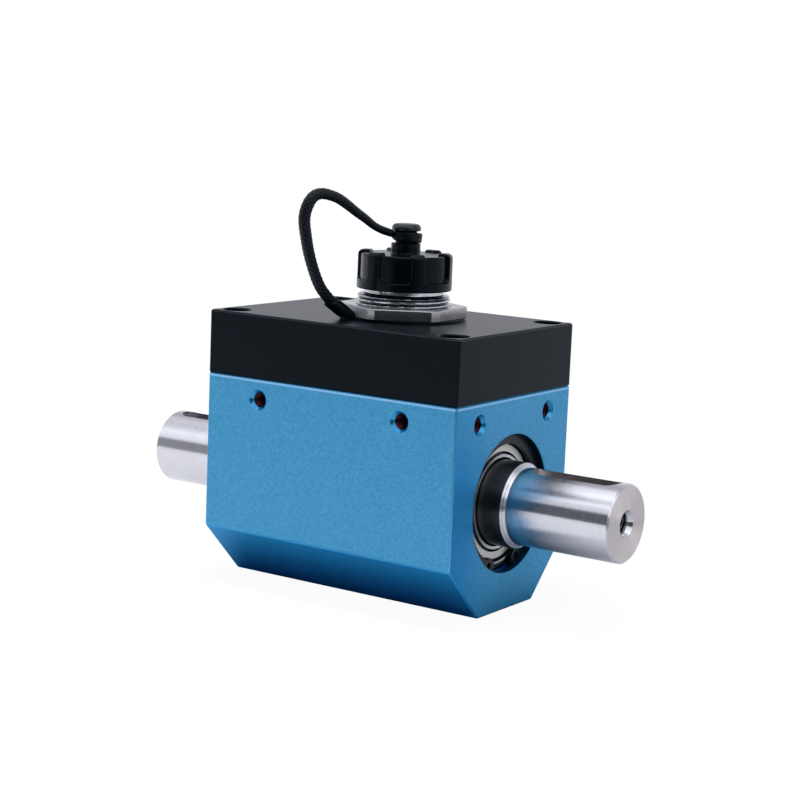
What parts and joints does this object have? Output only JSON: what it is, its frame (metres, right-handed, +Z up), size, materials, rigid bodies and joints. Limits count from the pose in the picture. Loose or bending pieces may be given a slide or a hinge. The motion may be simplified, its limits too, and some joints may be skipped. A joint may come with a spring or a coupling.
{
  "type": "rotary torque sensor",
  "caption": "Block-shaped rotary torque sensor with a keyed through shaft on ball bearings and a capped signal connector on its cover.",
  "frame": {"origin": "middle of the base, on the surface that the sensor stands on", "axes": "+X along the shaft, -Y the front with the threaded holes, +Z up towards the connector"},
  "size_m": [0.13, 0.0513, 0.0953],
  "materials": {
    "blue_anodised": "bead-blasted, blue anodised",
    "black_anodised": "fine satin, black anodised",
    "ground_steel": "ground and polished",
    "bearing_steel": "ground",
    "shield_steel": "pressed sheet, satin",
    "black_steel": "blackened",
    "nickel": "nickel plated",
    "black_plastic": "moulded, fine grain",
    "black_braid": "braided sleeve",
    "rubber": "moulded",
    "copper": "enamelled wire",
    "brass": "turned",
    "circuit_board": "solder mask",
    "gauge_film": "polyimide film",
    "wire_jacket": "smooth"
  },
  "bodies": {
    "housing": {"housing": "blue_anodised", "top_cover": "black_anodised", "cover_screws": "black_steel", "bearing_outer_right": "bearing_steel", "bearing_shields_right": "shield_steel", "retaining_ring_right": "black_steel", "bearing_outer_left": "bearing_steel", "bearing_shields_left": "shield_steel", "retaining_ring_left": "black_steel", "stator_bobbin_right": "black_plastic", "stator_winding_right": "copper", "stator_bobbin_left": "black_plastic", "stator_winding_left": "copper", "stator_leads": "wire_jacket", "signal_board": "circuit_board", "board_chips": "black_plastic", "board_standoffs": "brass", "board_screws": "nickel", "connector_shell": "nickel", "connector_insert": "black_plastic", "connector_contacts": "brass", "connector_seal": "rubber", "connector_nut": "nickel", "tether_ring": "black_plastic", "tether_sleeve": "rubber", "tether_cord": "black_braid"},
    "shaft": {"shaft": "ground_steel", "bearing_inner_right": "bearing_steel", "bearing_inner_left": "bearing_steel", "strain_gauges": "gauge_film", "rotor_circuit": "circuit_board", "rotor_bobbin_right": "black_plastic", "rotor_winding_right": "copper", "rotor_bobbin_left": "black_plastic", "rotor_winding_left": "copper", "spacer_right": "ground_steel", "spacer_left": "ground_steel"},
    "ball_set_right": {"balls_right": "bearing_steel", "cage_right": "brass"},
    "ball_set_left": {"balls_left": "bearing_steel", "cage_left": "brass"},
    "tether_eye": {"tether_eye": "black_plastic"},
    "dust_cap": {"dust_cap": "black_plastic", "cap_seal": "rubber"}
  },
  "joints": [
    {"name": "shaft_turn", "type": "hinge", "parent": "housing", "child": "shaft", "pos_m": [0, 0, 0.025], "axis": [1, 0, 0], "continuous": true},
    {"name": "balls_right_turn", "type": "hinge", "parent": "housing", "child": "ball_set_right", "pos_m": [0.0285, 0, 0.025], "axis": [1, 0, 0], "continuous": true},
    {"name": "balls_left_turn", "type": "hinge", "parent": "housing", "child": "ball_set_left", "pos_m": [-0.0285, 0, 0.025], "axis": [1, 0, 0], "continuous": true},
    {"name": "cap_lift", "type": "slide", "parent": "housing", "child": "tether_eye", "axis": [0, 0, 1], "range_m": [0, 0.0045], "deforming": ["tether_cord"]},
    {"name": "cap_turn", "type": "hinge", "parent": "tether_eye", "child": "dust_cap", "pos_m": [0.003, 0, 0.08], "axis": [0, 0, 1], "range_deg": [0, 1620]}
  ],
  "couplings": [
    {"joint": "balls_right_turn", "follows": "shaft_turn", "ratio": 0.43269},
    {"joint": "balls_left_turn", "follows": "shaft_turn", "ratio": 0.43269},
    {"joint": "cap_lift", "follows": "cap_turn", "m_per_rad": 0.00015915}
  ]
}
